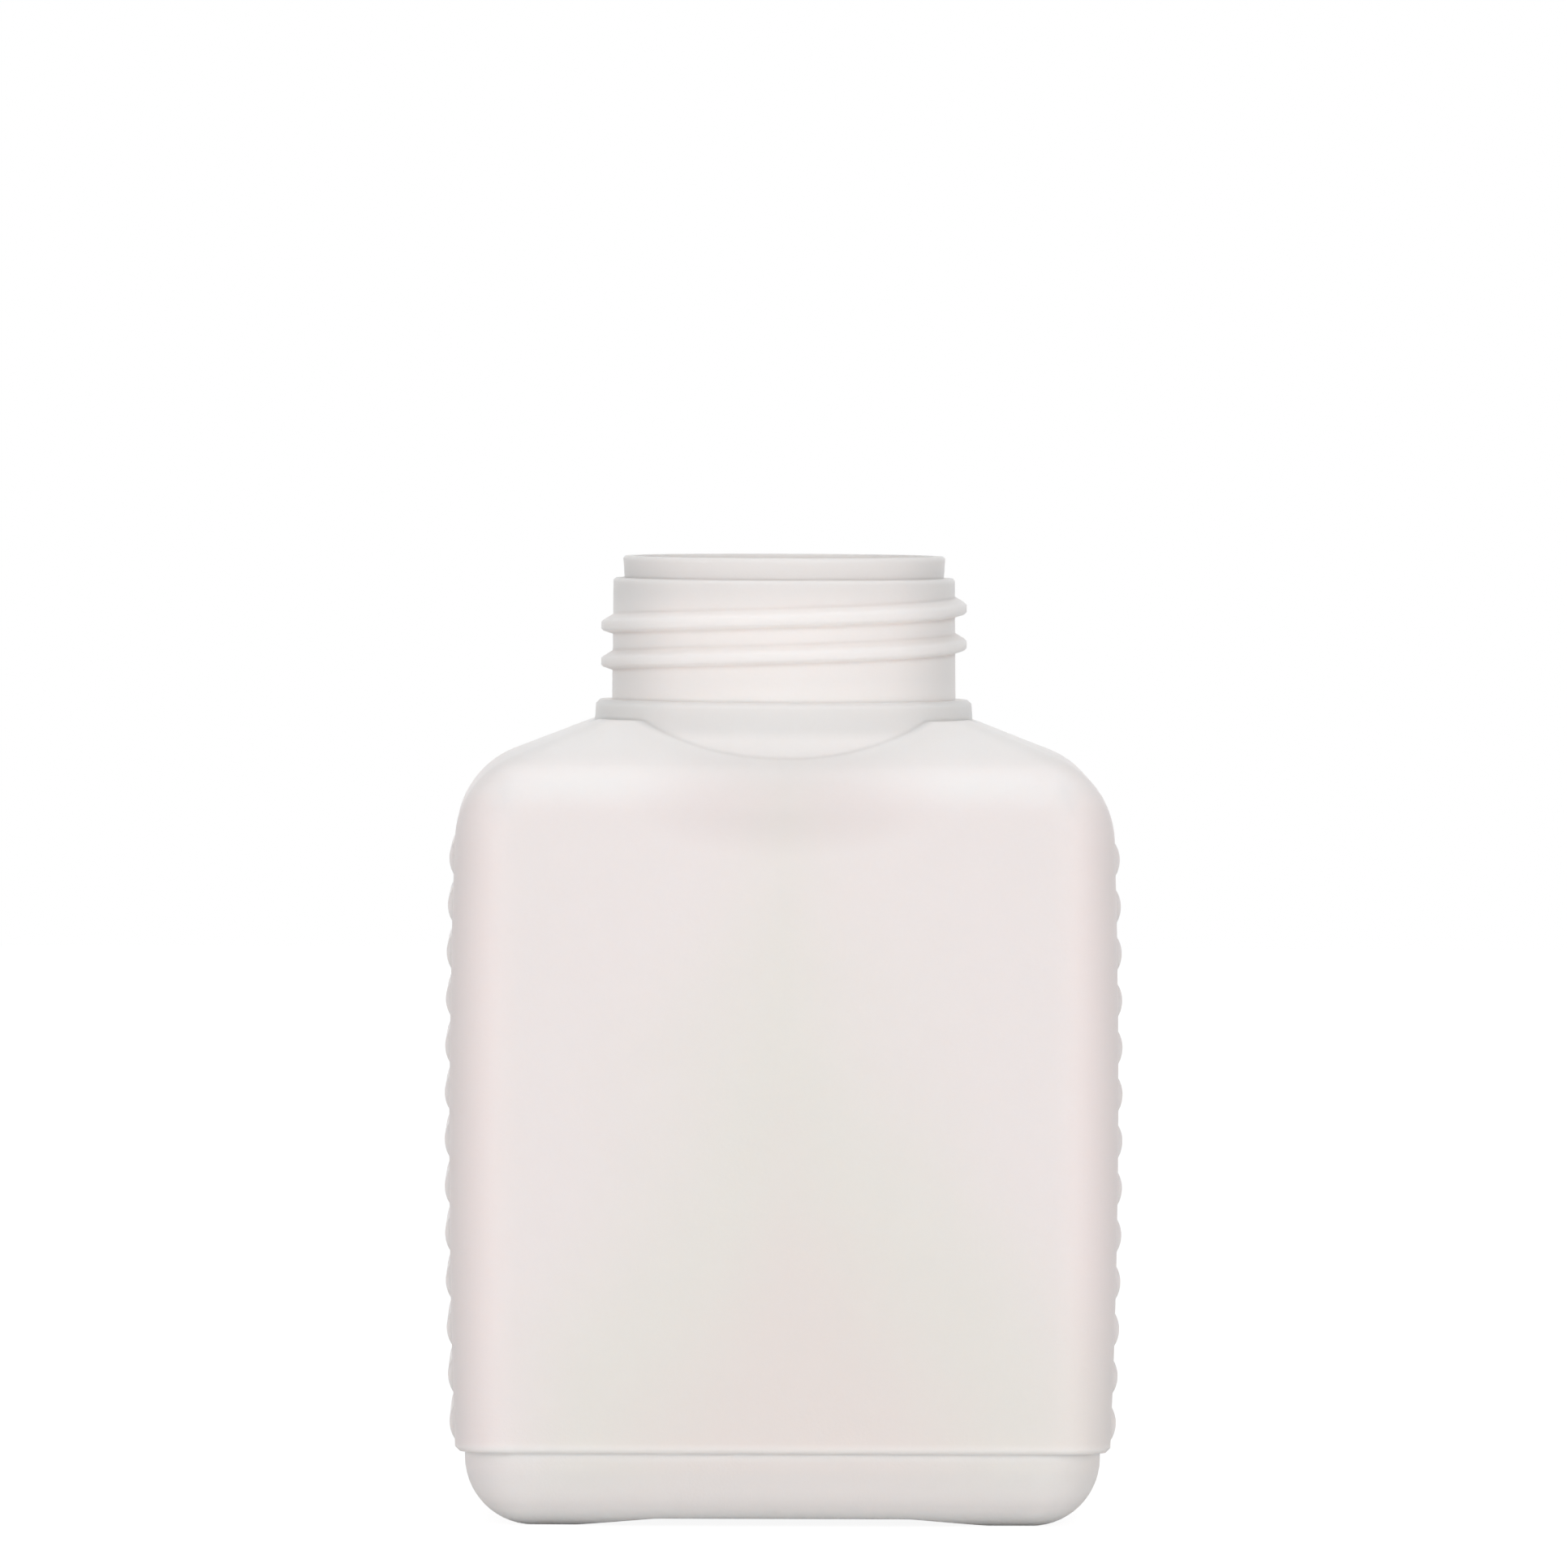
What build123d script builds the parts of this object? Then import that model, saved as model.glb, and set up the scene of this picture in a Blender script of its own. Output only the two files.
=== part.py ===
from build123d import *
import os
from math import cos, radians, sin, sqrt, tan

# A wide-mouth reagent bottle, blown in one piece from natural polyethylene.
# The body is an oblong with a hipped shoulder, a stepped foot and a row of grip beads
# on each narrow side. The neck carries a collar, a two-turn thread and a sealing lip.
# Millimetres. +Z is up, the broad front face looks towards -Y, and the origin is the
# middle of the footprint on the surface that the feet stand on.

# Whole bottle, from the top down: neck, shoulder, body
total_height = 131.5
neck_height = 19.6
shoulder_height = 10.35
wall = 1.3

# Body
body_width = 89.0
body_depth = 62.0
side_swell = 0.95
body_corner_radius = 7.0
body_hem_bevel = 0.6

# Hipped shoulder: the roof over the narrow sides is the flatter of the two
side_roof_slope = 21.9
front_roof_slope = 29.6
side_shoulder_radius = 12.6
front_shoulder_radius = 7.4
corner_cut_tilts = (22.0, 47.0)

# Foot cup under the body, arched between four corner feet
foot_height = 10.2
foot_step = 1.3
foot_corner_radius = 9.3
foot_cavity_bevel = 5.6
foot_pad_length = 5.5
foot_pad_width = 5.0
arch_rise = 1.05
front_arch_flank = 11.0
side_arch_flank = 6.0
arch_softening = 14.0
pinch_length = 52.0
pinch_width = 1.4
pinch_height = 0.5

# Grip beads on the narrow sides
bead_count = 13
bead_low_margin = 3.9
bead_high_margin = 10.9
bead_radius = 4.2
bead_proud = 0.65
bead_length = 46.0
bead_end_radius = 3.0

# Collar and neck
collar_radius = 25.65
collar_flare = 0.7
collar_bevel = 0.55
neck_radius = 23.5
neck_taper = 0.15
neck_bevel = 0.3
lip_radius = 22.05
lip_taper = 0.2
lip_height = 3.0
lip_bevel = 0.3
bore_radius = 20.5

# Right-hand thread, which rises to the right across the front
thread_radius = 25.0
thread_pitch = 4.95
thread_sweep_angle = 660.0
thread_start_angle = 120.0
thread_lead_in = 4.3
thread_top_flank = 1.65
thread_bottom_flank = 1.25
thread_crest_half = 0.45
thread_crest_bevel = 0.3
thread_root_sink = 0.3
thread_fade_angle = 38.0

# Worked out from the sizes above
half_width = body_width / 2
half_depth = body_depth / 2
collar_top = total_height - neck_height
eave_height = collar_top - shoulder_height
cup_half_width = half_width - foot_step
cup_half_depth = half_depth - foot_step
panel_middle = (foot_height + eave_height) / 2
panel_half = (eave_height - foot_height) / 2
roof_rise = min(collar_top - eave_height - 2 * wall, half_width * tan(radians(side_roof_slope)))
roof_top = eave_height + roof_rise
neck_top = total_height - lip_height
thread_start_height = collar_top + thread_lead_in
thread_rise = thread_pitch * thread_sweep_angle / 360


def swollen_half_width(height):
    """Half width of the slightly barrelled sides at a height."""
    return half_width + side_swell * (1 - ((height - panel_middle) / panel_half) ** 2)


def crossed_outlines(inset):
    """Body and hipped shoulder with sharp corners, drawn in by an inset: 0 gives the outside."""
    side_run = roof_rise / tan(radians(side_roof_slope))
    front_run = roof_rise / tan(radians(front_roof_slope))
    with BuildPart() as body:
        with BuildSketch(Plane.XZ) as broad_view:
            with BuildLine():
                eave = (half_width, eave_height)
                ridge = (half_width - side_run, roof_top)
                ThreePointArc((half_width, foot_height), (half_width + side_swell, panel_middle), eave)
                Polyline(eave, ridge, (0, roof_top), (0, foot_height), (half_width, foot_height))
            make_face()
            mirror(about=Plane.YZ)
            fillet(broad_view.vertices().group_by(Axis.Y)[1], side_shoulder_radius)
            if inset:
                offset(amount=-inset, mode=Mode.REPLACE)
        extrude(amount=half_depth - inset, both=True)
        with BuildSketch(Plane.YZ) as narrow_view:
            with BuildLine():
                eave = (half_depth, eave_height)
                ridge = (half_depth - front_run, roof_top)
                Polyline(eave, ridge, (0, roof_top), (0, foot_height), (half_depth, foot_height), close=True)
            make_face()
            mirror(about=Plane.YZ)
            fillet(narrow_view.vertices().group_by(Axis.Y)[1], front_shoulder_radius)
            if inset:
                offset(amount=-inset, mode=Mode.REPLACE)
        extrude(amount=body_width, both=True, mode=Mode.INTERSECT)
    return body.part


def blown_body():
    """Outside of the body: its upright corners and shoulder ridges share one radius."""
    with BuildPart() as body:
        add(crossed_outlines(0))
        corners = body.edges().filter_by(lambda edge: abs(edge.center().X * edge.center().Y) > half_depth)
        fillet(corners, body_corner_radius)
        chamfer(body.edges().group_by(Axis.Z)[0], body_hem_bevel)
    return body.part


def body_cavity():
    """Inside of the body, rounded in plan and cut flat behind the four shoulder corners."""
    side_arc_foot = eave_height - side_shoulder_radius * tan(radians(90 - side_roof_slope) / 2)
    front_arc_foot = eave_height - front_shoulder_radius * tan(radians(90 - front_roof_slope) / 2)
    climb = front_arc_foot - side_arc_foot
    reach = sqrt((side_shoulder_radius - body_corner_radius) ** 2 - climb**2)
    ball_x = half_width - side_shoulder_radius + reach
    ball_y = half_depth - body_corner_radius
    inner_radius = body_corner_radius - wall
    with BuildPart() as cavity:
        add(crossed_outlines(wall))
        with BuildSketch(Plane.XY.offset(foot_height)):
            RectangleRounded(
                2 * (half_width + side_swell - wall), 2 * (half_depth - wall), body_corner_radius + wall / 2
            )
        extrude(amount=roof_top, mode=Mode.INTERSECT)
        for tilt in corner_cut_tilts:
            level = inner_radius * cos(radians(tilt)) / sqrt(2)
            height = front_arc_foot + inner_radius * sin(radians(tilt))
            for side in (-1, 1):
                for face in (-1, 1):
                    point = (side * (ball_x + level), face * (ball_y + level), height)
                    outward = (side, face, sqrt(2) * tan(radians(tilt)))
                    split(bisect_by=Plane(origin=point, z_dir=outward), keep=Keep.BOTTOM)
    return cavity.part


def foot_cup():
    """Outside of the stepped foot below the body, with ball corners."""
    with BuildPart() as cup:
        with BuildSketch():
            Rectangle(2 * cup_half_width, 2 * cup_half_depth)
        extrude(amount=foot_height)
        rounded = cup.edges().filter_by(Axis.Z) + cup.edges().group_by(Axis.Z)[0]
        fillet(rounded, foot_corner_radius)
    return cup.part


def foot_cavity():
    """Inside of the foot, which cuts straight across under the ball corners."""
    with BuildPart() as cavity:
        with BuildSketch(Plane.XY.offset(wall)):
            RectangleRounded(
                2 * (cup_half_width - wall), 2 * (cup_half_depth - wall), foot_corner_radius - wall
            )
        extrude(amount=foot_height)
        chamfer(cavity.edges().group_by(Axis.Z)[0], foot_cavity_bevel)
    return cavity.part


def grip_beads(inset):
    """Both rows of beads, which follow the barrelled sides, drawn in by an inset."""
    lowest = foot_height + bead_low_margin
    pitch = (eave_height - bead_high_margin - lowest) / (bead_count - 1)
    heights = [lowest + pitch * n for n in range(bead_count)]
    crest = half_width + side_swell + bead_proud
    with BuildPart() as beads:
        with BuildSketch(Plane.XZ):
            with Locations([(swollen_half_width(z) + bead_proud - bead_radius, z) for z in heights]):
                Circle(bead_radius - inset)
            mirror(about=Plane.YZ)
        extrude(amount=bead_length / 2 - inset, both=True)
        if not inset:
            with BuildSketch(Plane.XY.offset(foot_height)):
                RectangleRounded(2 * crest, bead_length, bead_end_radius)
            extrude(amount=eave_height - foot_height, mode=Mode.INTERSECT)
    return beads.part


def foot_arches(lift):
    """Two crossed channels that leave four corner feet, raised by a lift."""
    pad_x = cup_half_width - foot_corner_radius - foot_pad_length
    pad_y = cup_half_depth - foot_corner_radius - foot_pad_width
    crown = lift + arch_rise
    with BuildPart() as arches:
        channels = ((Plane.XZ, pad_x, front_arch_flank), (Plane.YZ, pad_y, side_arch_flank))
        for plane, start, flank in channels:
            with BuildSketch(plane) as channel:
                Polygon(
                    (-start, -arch_rise),
                    (start, -arch_rise),
                    (start, lift),
                    (start - flank, crown),
                    (flank - start, crown),
                    (-start, lift),
                    align=None,
                )
                fillet(channel.vertices().group_by(Axis.Y)[-1], arch_softening)
            extrude(amount=body_width, both=True)
    return arches.part


def thread_fade(angle, crest_height):
    """Crescent that pares a thread end down into the neck wall around an angle."""
    buried = neck_radius - thread_root_sink / 2
    shift = (thread_radius - buried) / (1 - cos(radians(thread_fade_angle)))
    with BuildPart() as crescent:
        with BuildSketch(Plane.XY.offset(crest_height - thread_pitch / 2)):
            Circle(collar_radius)
            with PolarLocations(shift, 1, angle + 180):
                Circle(buried + shift, mode=Mode.SUBTRACT)
        extrude(amount=thread_pitch)
    return crescent.part


# The thread is one helical ridge whose two ends fade into the neck wall, made with its
# start on the X axis and turned to its place when it joins the neck
start_fade = thread_fade(0, thread_start_height)
end_fade = thread_fade(thread_sweep_angle, thread_start_height + thread_rise)
with BuildPart() as cap_thread:
    thread_root = neck_radius - thread_root_sink
    crest_edge = thread_radius - thread_crest_bevel
    crest_reach = thread_crest_half + thread_crest_bevel
    with BuildLine():
        Helix(thread_pitch, thread_rise, neck_radius, (0, 0, thread_start_height))
    with BuildSketch(Plane.XZ):
        Polygon(
            (thread_root, thread_start_height - thread_bottom_flank),
            (crest_edge, thread_start_height - crest_reach),
            (thread_radius, thread_start_height - thread_crest_half),
            (thread_radius, thread_start_height + thread_crest_half),
            (crest_edge, thread_start_height + crest_reach),
            (thread_root, thread_start_height + thread_top_flank),
            align=None,
        )
    sweep(is_frenet=True)
    add(start_fade, mode=Mode.SUBTRACT)
    add(end_fade, mode=Mode.SUBTRACT)

# Everything that holds liquid, up to the brim
inner_body = body_cavity()
inner_cup = foot_cavity()
inner_beads = grip_beads(wall)
raised_arches = foot_arches(wall)
collar_bore = collar_radius - wall
with BuildPart() as hollow:
    add(inner_cup)
    add(raised_arches, mode=Mode.SUBTRACT)
    add(inner_body)
    add(inner_beads)
    with BuildSketch(Plane.XZ):
        Polygon(
            (0, eave_height - wall),
            (collar_bore, eave_height - wall),
            (collar_bore, collar_top - 2 * wall),
            (bore_radius, collar_top),
            (bore_radius, total_height),
            (0, total_height),
            align=None,
        )
    revolve(axis=Axis.Z)

# The bottle itself
outer_body = blown_body()
outer_cup = foot_cup()
outer_beads = grip_beads(0)
ground_arches = foot_arches(0)
with BuildPart() as bottle:
    add(outer_cup)
    add(ground_arches, mode=Mode.SUBTRACT)
    # The mould's pinch-off scar, its upper half sunk in the base
    with Locations((0, 0, arch_rise)):
        Box(pinch_length, pinch_width, 2 * pinch_height)
    add(outer_body)
    add(outer_beads)
    with BuildSketch(Plane.XZ) as neck:
        Polygon(
            (0, eave_height),
            (collar_radius + collar_flare, eave_height),
            (collar_radius, collar_top),
            (neck_radius, collar_top),
            (neck_radius - neck_taper, neck_top),
            (lip_radius - lip_taper, neck_top),
            (lip_radius, total_height),
            (0, total_height),
            align=None,
        )
        chamfer(neck.vertices().sort_by_distance((collar_radius, collar_top))[0], collar_bevel)
        chamfer(neck.vertices().sort_by_distance((neck_radius, neck_top))[0], neck_bevel)
        chamfer(neck.vertices().sort_by_distance((lip_radius, total_height))[0], lip_bevel)
    revolve(axis=Axis.Z)
    add(cap_thread.part, rotation=(0, 0, thread_start_angle))
    add(hollow.part, mode=Mode.SUBTRACT)
bottle.part.label = "bottle"

os.makedirs("parts", exist_ok=True)
export_step(bottle.part, "parts/bottle.step")
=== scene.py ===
import math

import bpy
from mathutils import Matrix, Vector

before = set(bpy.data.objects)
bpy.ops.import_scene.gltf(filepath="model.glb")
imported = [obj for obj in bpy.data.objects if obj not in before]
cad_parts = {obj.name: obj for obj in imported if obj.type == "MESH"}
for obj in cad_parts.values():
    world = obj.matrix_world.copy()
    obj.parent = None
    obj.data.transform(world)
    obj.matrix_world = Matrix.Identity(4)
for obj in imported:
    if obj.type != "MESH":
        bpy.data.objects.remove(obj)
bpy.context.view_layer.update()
print("frame loaded:", sorted(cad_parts))

scene = bpy.context.scene
firstColour, secondColour = 6, 7    # the colour sockets of a Mix node

cameraView = {
    "distance": 3.08,      # metres from the bottle's axis
    "height": 0.178,
    "aimHeight": 0.1003,
    "sideTurn": -0.5,      # degrees round the bottle, minus is to its left
    "roll": 0.2,
    "lens": 517.0,         # millimetres, for the sensor below
    "sensor": 36.0,
    "clipEnd": 60.0,
}


def addCamera(view):
    turn = math.radians(view["sideTurn"])
    place = Vector((view["distance"] * math.sin(turn),
                    -view["distance"] * math.cos(turn),
                    view["height"]))
    look = Vector((0.0, 0.0, view["aimHeight"])) - place
    data = bpy.data.cameras.new("bottleCamera")
    data.lens = view["lens"]
    data.sensor_width = view["sensor"]
    data.clip_end = view["clipEnd"]
    camera = bpy.data.objects.new("bottleCamera", data)
    scene.collection.objects.link(camera)
    spin = Matrix.Rotation(math.radians(view["roll"]), 3, "Z")
    camera.rotation_euler = (look.to_track_quat("-Z", "Y").to_matrix() @ spin).to_euler()
    camera.location = place
    scene.camera = camera


addCamera(cameraView)
scene.view_settings.view_transform = "Standard"
print("camera set")


def newMaterial(name):
    material = bpy.data.materials.new(name)
    material.use_nodes = True
    material.node_tree.nodes.clear()
    return material


def addNode(tree, kind, x, y, values=None, **settings):
    node = tree.nodes.new(kind)
    node.location = (x, y)
    for key, value in settings.items():
        setattr(node, key, value)
    for socket, value in (values or {}).items():
        node.inputs[socket].default_value = value
    return node


stageLook = {
    "white": (1.0, 1.0, 1.0, 1.0),
    "floorRadius": 2.4,
    "floorSides": 96,
    "floorColour": (0.8, 0.8, 0.8, 1.0),
    "floorShade": 0.2,     # how much of the bottle's shadow the pale floor shows
    "floorGlow": 1.15,
    "worldSeen": 1.0,      # brightness of the plain ground behind the bottle
    "roomLight": (0.71, 1.15, 0.08),    # from the sides, from front and back, from above
    "lightsAim": (0.0, 0.0, 0.07),
    "lights": {            # one without glare lights the resin but isn't mirrored in it
        "frontSoftbox": {"place": (0.0, -2.2, 0.3), "size": 1.2, "watts": 17.6, "glare": False},
        "topSoftbox": {"place": (0.0, 0.0, 1.6), "size": 1.6, "watts": 9.9, "glare": True},
        "backSoftbox": {"place": (0.0, 2.2, 0.3), "size": 1.2, "watts": 8.0, "glare": False},
    },
}


def addFloor(look):
    bpy.ops.object.select_all(action="DESELECT")
    bpy.ops.mesh.primitive_circle_add(vertices=look["floorSides"], radius=look["floorRadius"],
                                      fill_type="NGON", location=(0, 0, 0))
    floor = bpy.context.object
    floor.name = "studioFloor"
    material = newMaterial("paleFloor")
    tree = material.node_tree
    path = addNode(tree, "ShaderNodeLightPath", -300, 300)
    bounce = addNode(tree, "ShaderNodeBsdfDiffuse", -300, 0, {"Color": look["floorColour"]})
    glow = addNode(tree, "ShaderNodeEmission", -300, -150, {
        "Color": look["white"], "Strength": look["floorGlow"]})
    veil = addNode(tree, "ShaderNodeMixShader", 0, -100, {0: 1.0 - look["floorShade"]})
    seen = addNode(tree, "ShaderNodeMixShader", 250, 0)
    out = addNode(tree, "ShaderNodeOutputMaterial", 450, 0)
    tree.links.new(bounce.outputs[0], veil.inputs[1])
    tree.links.new(glow.outputs[0], veil.inputs[2])
    tree.links.new(path.outputs["Is Camera Ray"], seen.inputs[0])
    tree.links.new(bounce.outputs[0], seen.inputs[1])
    tree.links.new(veil.outputs[0], seen.inputs[2])
    tree.links.new(seen.outputs[0], out.inputs["Surface"])
    floor.data.materials.append(material)


def addLight(name, lamp, aim):
    data = bpy.data.lights.new(name, "AREA")
    data.size = lamp["size"]
    data.energy = lamp["watts"]
    light = bpy.data.objects.new(name, data)
    scene.collection.objects.link(light)
    place = Vector(lamp["place"])
    light.location = place
    light.rotation_euler = (Vector(aim) - place).to_track_quat("-Z", "Y").to_euler()
    light.visible_camera = False
    light.visible_glossy = lamp["glare"]


def addWorld(look):
    world = bpy.data.worlds.new("studioWorld")
    world.use_nodes = True
    scene.world = world
    tree = world.node_tree
    tree.nodes.clear()
    path = addNode(tree, "ShaderNodeLightPath", -600, 300)
    way = addNode(tree, "ShaderNodeTexCoord", -1000, 0)
    square = addNode(tree, "ShaderNodeVectorMath", -800, 0, operation="MULTIPLY")
    weigh = addNode(tree, "ShaderNodeVectorMath", -600, 0, {1: look["roomLight"]},
                    operation="DOT_PRODUCT")
    room = addNode(tree, "ShaderNodeBackground", -300, 0, {"Color": look["white"]})
    seen = addNode(tree, "ShaderNodeBackground", -300, -200, {
        "Color": look["white"], "Strength": look["worldSeen"]})
    mix = addNode(tree, "ShaderNodeMixShader", 0, 0)
    out = addNode(tree, "ShaderNodeOutputWorld", 250, 0)
    tree.links.new(way.outputs["Generated"], square.inputs[0])
    tree.links.new(way.outputs["Generated"], square.inputs[1])
    tree.links.new(square.outputs["Vector"], weigh.inputs[0])
    tree.links.new(weigh.outputs["Value"], room.inputs["Strength"])
    tree.links.new(path.outputs["Is Camera Ray"], mix.inputs[0])
    tree.links.new(room.outputs[0], mix.inputs[1])
    tree.links.new(seen.outputs[0], mix.inputs[2])
    tree.links.new(mix.outputs[0], out.inputs["Surface"])


addFloor(stageLook)
for lightName, lamp in stageLook["lights"].items():
    addLight(lightName, lamp, stageLook["lightsAim"])
addWorld(stageLook)
print("floor and lights set")


# lengths in metres; pairs run from where a mask is nought to where it is full
resinLook = {
    "rosy": (0.90, 0.805, 0.79, 1.0),       # high and wide on the broad faces
    "beige": (0.83, 0.79, 0.745, 1.0),      # a wedge that widens down them
    "blush": (0.84, 0.76, 0.73, 1.0),       # a smaller wedge within it
    "neutral": (0.86, 0.825, 0.81, 1.0),    # neck, collar and the foot's underside
    # painted shade: the neck's top rim darker
    "lipShade": (0.76, 0.735, 0.725, 1.0),
    "glow": (1.0, 0.94, 0.91, 1.0),         # painted light for the creases and the foot's step
    "shoulderHighlight": (0.96, 0.88, 0.865, 1.0),       # painted highlight on the front shoulder's rounded edge
    "paintedShadeTint": (0.72, 0.76, 0.77, 1.0),       # painted shade: the colour that the shade masks darken towards
    "ior": 1.53,
    "roughness": 0.42,
    "roughnessSpread": 0.05,
    "scatter": 0.0022,                      # how far light wanders in the wall
    "scatterTint": (1.0, 0.93, 0.88),
    "cloud": {"Scale": 14.0, "Detail": 2.0, "Roughness": 0.5},
    "cloudReach": 0.012,                    # how far the cloud moves a wedge's edge
    "wave": {"Scale": 34.0, "Detail": 1.0, "Roughness": 0.4},
    "waveBump": {"Distance": 0.0005, "Strength": 0.35},
    "grain": {"Scale": 2600.0, "Detail": 2.0, "Roughness": 0.6},
    "grainBump": {"Distance": 0.00004, "Strength": 0.5},
    "noiseRange": (0.3, 0.7),               # the part of a noise that is made use of
    "creaseSoft": 0.0009,                   # how wide a crease looks rounded
    "creaseSamples": 4,
    "wedgeTop": 0.137,                      # height of the wedge's tip
    "wedgeSlope": 0.28,                     # half width gained for each metre down
    "wedgeBlur": 0.014,
    "blushTop": 0.062,
    "blushSlope": 0.3,
    "neutralAbove": (0.0985, 0.107),
    "neutralBelow": (0.010, 0.002),
    "highlightUp": (0.097, 0.101, 0.105),        # nought, full, nought
    "highlightAcross": (0.004, 0.024),
    "highlightShare": 0.7,
    "lipStart": (0.1225, 0.1292),
    "creaseReach": 0.003,                   # how near two walls make a crease
    "creaseOpen": (0.85, 0.45),             # share of open sky over it
    "creaseGlow": 0.9,
    "creaseGlowSamples": 3,
    "hemUp": (0.0086, 0.0102, 0.0118),      # nought, full, nought
    "hemGlow": 0.6,
    "cornerAcross": (0.0372, 0.0457),       # painted shade on the body's upright corners
    "cornerDeep": (0.0215, 0.0275),
    "cornerShade": 0.55,
    "neckReach": (0.0272, 0.0258),          # from the bottle's axis
    "collarUp": (0.1065, 0.1085),
    "collarTop": 0.1119,
    "collarShade": 0.36,
    "neckSides": (0.014, 0.023),            # painted shade where the neck turns away
    "neckShade": 0.35,
    "eaveAcross": (0.03, 0.042),            # painted shade on the low ends of the side roofs
    "eaveUp": (0.098, 0.104),
    "eaveShade": 0.4,
    "neckShadow": 0.32,                     # a soft patch on the broad faces, below the neck
    "neckShadowAt": 0.0995,
    "neckShadowSize": (0.024, 0.009),
}


def span(tree, x, y, source, low, high, most=1.0):
    # nought at low, most at high, smooth between
    node = addNode(tree, "ShaderNodeMapRange", x, y, {
        "From Min": low, "From Max": high, "To Min": 0.0, "To Max": most},
        interpolation_type="SMOOTHSTEP")
    tree.links.new(source, node.inputs["Value"])
    return node.outputs["Result"]


def stretch(tree, x, y, noise, used, low, high):
    # the used part of a noise, from low to high
    node = addNode(tree, "ShaderNodeMapRange", x, y, {
        "From Min": used[0], "From Max": used[1], "To Min": low, "To Max": high})
    tree.links.new(noise.outputs["Fac"], node.inputs["Value"])
    return node.outputs["Result"]


def combine(tree, x, y, operation, first, second):
    node = addNode(tree, "ShaderNodeMath", x, y, operation=operation)
    for socket, source in enumerate((first, second)):
        if isinstance(source, float):
            node.inputs[socket].default_value = source
        else:
            tree.links.new(source, node.inputs[socket])
    return node.outputs["Value"]


def addWedge(tree, look, y, across, up, drift, name):
    # sideways distance against the drop from the wedge's tip, with a cloudy edge
    drop = combine(tree, -1700, y, "SUBTRACT", look[name + "Top"], up)
    edge = combine(tree, -1500, y, "MULTIPLY", drop, look[name + "Slope"])
    inside = combine(tree, -1300, y, "SUBTRACT", edge, across)
    cloudy = combine(tree, -1100, y, "ADD", inside, drift)
    return span(tree, -950, y, cloudy, -look["wedgeBlur"], look["wedgeBlur"])


# painted shade: corners, collar, neck sides, side roof eaves and an oval below the neck,
# darkened where less light reaches them
def paintedShade(tree, look, place, across, deep, up):
    # painted shade on the upright corners, where they turn away from the light
    corner = combine(tree, -1300, 900, "MULTIPLY",
                     span(tree, -1500, 950, across, *look["cornerAcross"]),
                     span(tree, -1500, 850, deep, *look["cornerDeep"], look["cornerShade"]))

    # painted shade on the collar's ring, by its distance from the axis and its height
    flat = addNode(tree, "ShaderNodeVectorMath", -1700, 700, {1: (1.0, 1.0, 0.0)},
                   operation="MULTIPLY")
    radius = addNode(tree, "ShaderNodeVectorMath", -1600, 700, operation="LENGTH")
    tree.links.new(place, flat.inputs[0])
    tree.links.new(flat.outputs["Vector"], radius.inputs[0])
    nearNeck = span(tree, -1500, 750, radius.outputs["Value"], *look["neckReach"])
    ring = combine(tree, -1400, 700, "MULTIPLY", nearNeck, look["collarShade"])
    below = combine(tree, -1500, 600, "LESS_THAN", up, look["collarTop"])
    band = combine(tree, -1400, 600, "MULTIPLY", below,
                   span(tree, -1600, 600, up, *look["collarUp"]))
    collar = combine(tree, -1300, 650, "MULTIPLY", ring, band)

    # painted shade on the sides of the neck and collar, where they turn away from the light
    above = combine(tree, -1500, 550, "GREATER_THAN", up, look["collarUp"][0])
    neck = combine(tree, -1400, 650, "MULTIPLY", above, nearNeck)
    side = combine(tree, -1300, 550, "MULTIPLY", neck,
                   span(tree, -1400, 550, across, *look["neckSides"], look["neckShade"]))

    # painted shade on the low ends of the side roofs
    eave = combine(tree, -1300, 400, "MULTIPLY",
                   span(tree, -1500, 400, across, *look["eaveAcross"]),
                   span(tree, -1500, 300, up, *look["eaveUp"], look["eaveShade"]))

    # an oval of shade below the neck
    width, height = look["neckShadowSize"]
    sideways = combine(tree, -1500, 200, "DIVIDE", across, width)
    rise = combine(tree, -1700, 100, "SUBTRACT", up, look["neckShadowAt"])
    upright = combine(tree, -1500, 100, "DIVIDE", rise, height)
    away = combine(tree, -1300, 150, "ADD",
                   combine(tree, -1400, 200, "MULTIPLY", sideways, sideways),
                   combine(tree, -1400, 100, "MULTIPLY", upright, upright))
    shadow = span(tree, -1200, 150, away, 1.0, 0.0, look["neckShadow"])

    total = corner
    for step, mask in enumerate((collar, side, eave, shadow)):
        total = combine(tree, -1100 + 100 * step, 700 - 100 * step, "ADD", total, mask)
    return combine(tree, -600, 500, "MINIMUM", total, 1.0)


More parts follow.
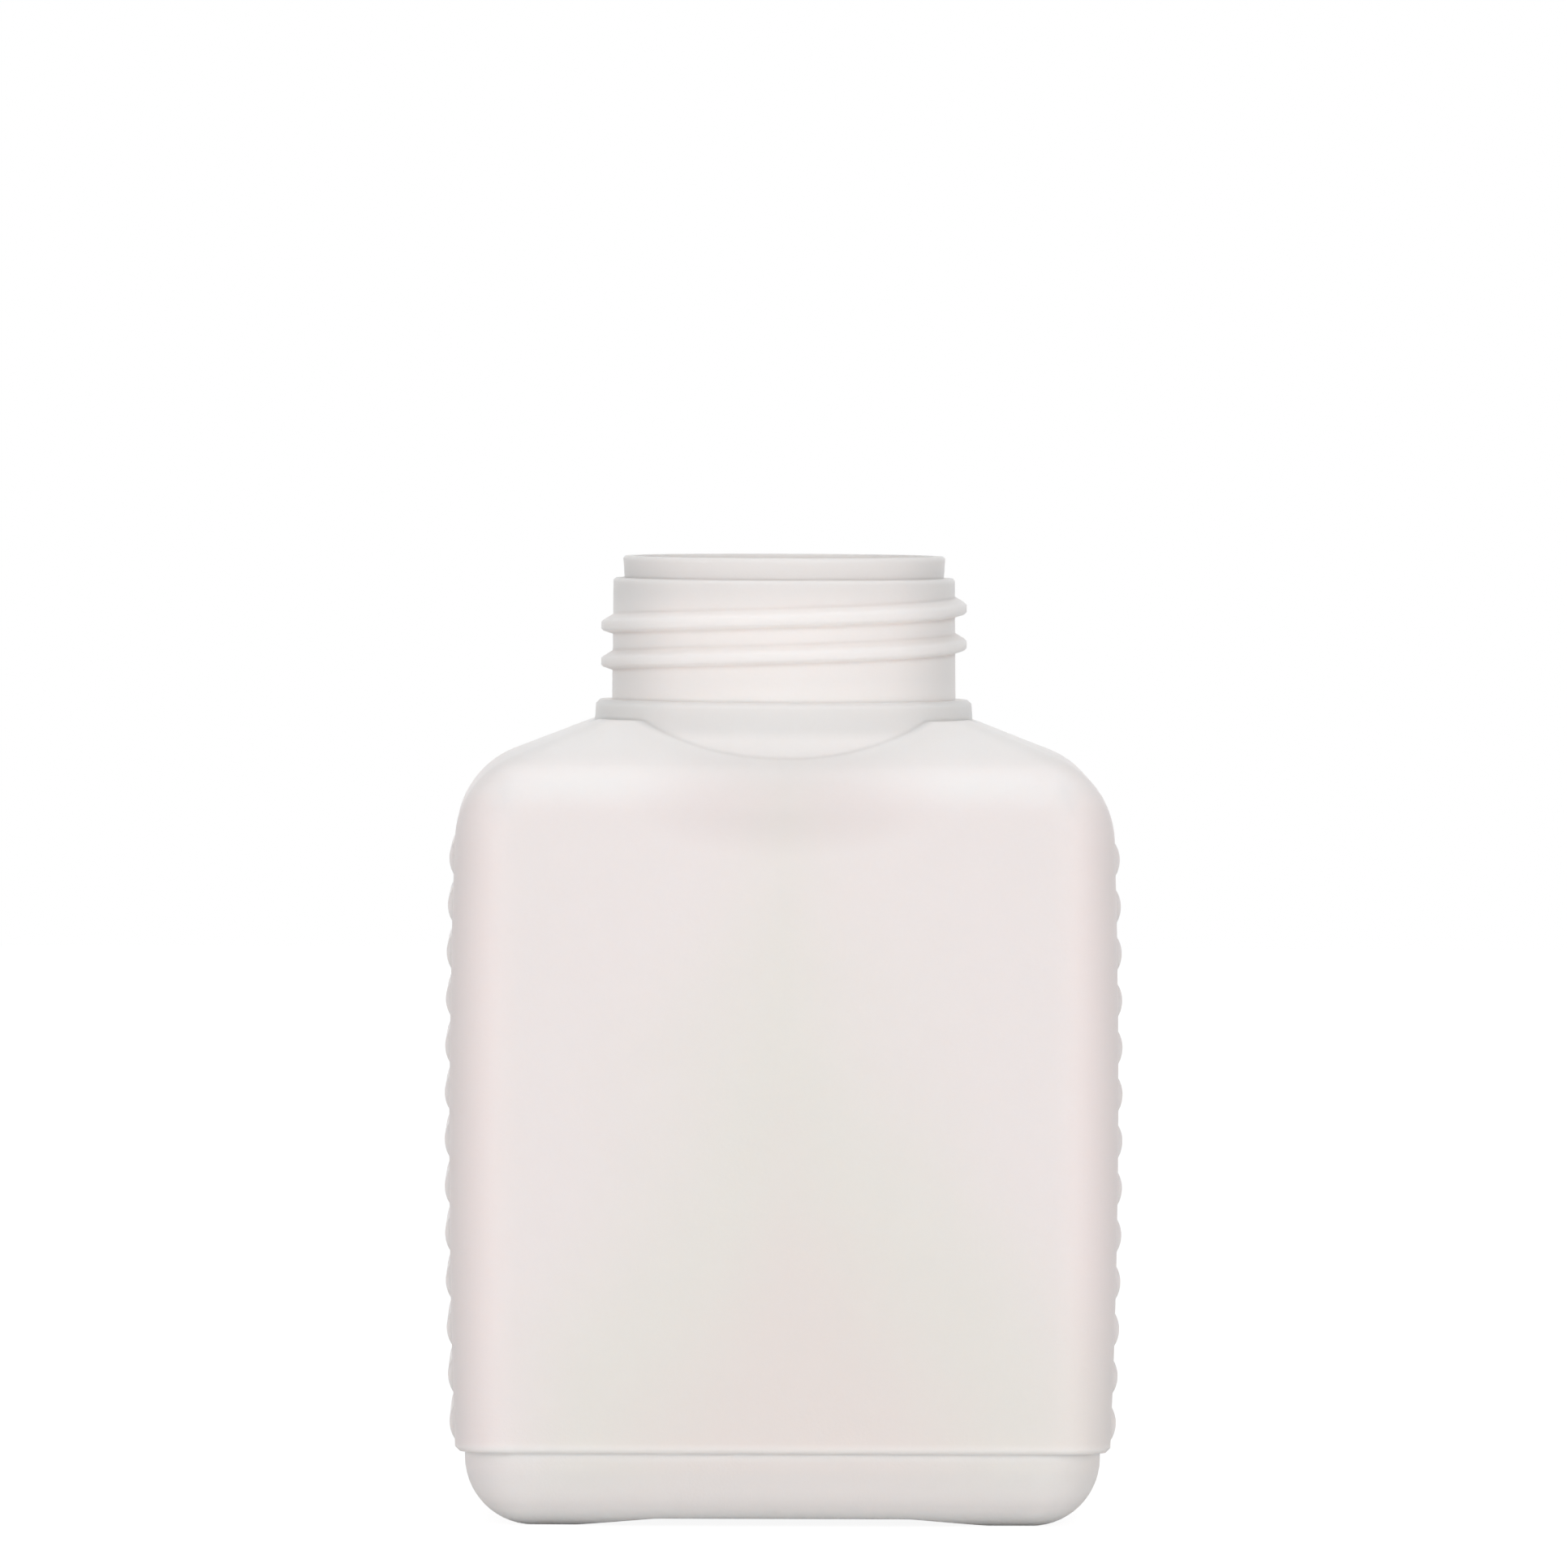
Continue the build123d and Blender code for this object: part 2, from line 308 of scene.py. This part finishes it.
def makeResin(look):
    material = newMaterial("naturalPolyethylene")
    tree = material.node_tree
    link = tree.links.new
    place = addNode(tree, "ShaderNodeTexCoord", -2300, 0)
    cloud = addNode(tree, "ShaderNodeTexNoise", -2000, 300, look["cloud"])
    wave = addNode(tree, "ShaderNodeTexNoise", -1200, -100, look["wave"])
    grain = addNode(tree, "ShaderNodeTexNoise", -1200, -350, look["grain"])
    for texture in (cloud, wave, grain):
        link(place.outputs["Object"], texture.inputs["Vector"])
    parts = addNode(tree, "ShaderNodeSeparateXYZ", -2100, 0)
    link(place.outputs["Object"], parts.inputs[0])
    across = combine(tree, -1900, 100, "ABSOLUTE", parts.outputs["X"], 0.0)
    deep = combine(tree, -1900, 0, "ABSOLUTE", parts.outputs["Y"], 0.0)
    up = parts.outputs["Z"]

    # masks for the tones, the painted highlight, the painted light and the painted rim shade
    drift = stretch(tree, -1700, -250, cloud, look["noiseRange"],
                    -look["cloudReach"], look["cloudReach"])
    wedge = addWedge(tree, look, -100, across, up, drift, "wedge")
    blush = addWedge(tree, look, -400, across, up, drift, "blush")
    neutral = combine(tree, -900, 200, "ADD",
                      span(tree, -1100, 200, up, *look["neutralAbove"]),
                      span(tree, -1100, 300, up, *look["neutralBelow"]))
    # painted highlight along the front shoulder's rounded edge
    low, middle, high = look["highlightUp"]
    shoulderHighlight = combine(tree, -900, 0, "MULTIPLY",
                   combine(tree, -1000, 50, "MULTIPLY",
                           span(tree, -1200, 50, up, low, middle),
                           span(tree, -1200, 0, up, high, middle)),
                   span(tree, -1200, -50, across, *look["highlightAcross"], look["highlightShare"]))
    # painted shade darkening the neck's top rim
    lipShade = span(tree, -1100, 400, up, *look["lipStart"])
    # painted light: creases lightened where the occlusion finds walls near
    nook = addNode(tree, "ShaderNodeAmbientOcclusion", -1300, -600,
                   {"Distance": look["creaseReach"]}, samples=look["creaseGlowSamples"])
    paintedCreaseLight = span(tree, -1100, -600, nook.outputs["AO"], *look["creaseOpen"], look["creaseGlow"])
    # painted light on the foot's step, in the glow colour
    low, middle, high = look["hemUp"]
    paintedHemLight = combine(tree, -1000, -700, "MULTIPLY",
                  span(tree, -1200, -700, up, low, middle),
                  span(tree, -1200, -800, up, high, middle, look["hemGlow"]))

    # each tone, the painted highlight, the painted light and the painted rim shade lies over the
    # ones before it
    steps = ((wedge, "beige"), (blush, "blush"), (neutral, "neutral"), (shoulderHighlight, "shoulderHighlight"),
             (paintedCreaseLight, "glow"), (paintedHemLight, "glow"), (lipShade, "lipShade"))
    colour = None
    for step, (mask, name) in enumerate(steps):
        tint = addNode(tree, "ShaderNodeMix", -800 + 100 * step, 300, data_type="RGBA")
        tint.inputs[firstColour].default_value = look["rosy"]
        tint.inputs[secondColour].default_value = look[name]
        link(mask, tint.inputs[0])
        if colour:
            link(colour, tint.inputs[firstColour])
        colour = tint.outputs[2]
    # the painted shade multiplied over the tones
    shadedColour = addNode(tree, "ShaderNodeMix", -300, 300, data_type="RGBA", blend_type="MULTIPLY")
    shadedColour.inputs[secondColour].default_value = look["paintedShadeTint"]
    link(paintedShade(tree, look, place.outputs["Object"], across, deep, up), shadedColour.inputs[0])
    link(colour, shadedColour.inputs[firstColour])

    # soft creases, a slight waviness and a fine grain
    crease = addNode(tree, "ShaderNodeBevel", -750, -450, {"Radius": look["creaseSoft"]},
                     samples=look["creaseSamples"])
    waveBump = addNode(tree, "ShaderNodeBump", -500, -200, look["waveBump"])
    grainBump = addNode(tree, "ShaderNodeBump", -250, -300, look["grainBump"])
    sheen = stretch(tree, -700, 0, wave, look["noiseRange"],
                    look["roughness"] - look["roughnessSpread"],
                    look["roughness"] + look["roughnessSpread"])
    resin = addNode(tree, "ShaderNodeBsdfPrincipled", 0, 0, {
        "IOR": look["ior"],
        "Subsurface Weight": 1.0,
        "Subsurface Radius": look["scatterTint"],
        "Subsurface Scale": look["scatter"],
    })
    out = addNode(tree, "ShaderNodeOutputMaterial", 350, 0)
    link(shadedColour.outputs[2], resin.inputs["Base Color"])
    link(sheen, resin.inputs["Roughness"])
    link(wave.outputs["Fac"], waveBump.inputs["Height"])
    link(grain.outputs["Fac"], grainBump.inputs["Height"])
    link(crease.outputs["Normal"], waveBump.inputs["Normal"])
    link(waveBump.outputs["Normal"], grainBump.inputs["Normal"])
    link(grainBump.outputs["Normal"], resin.inputs["Normal"])
    link(resin.outputs["BSDF"], out.inputs["Surface"])
    return material


resin = makeResin(resinLook)
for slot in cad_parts["bottle"].material_slots:
    slot.material = resin
print("bottle finished")
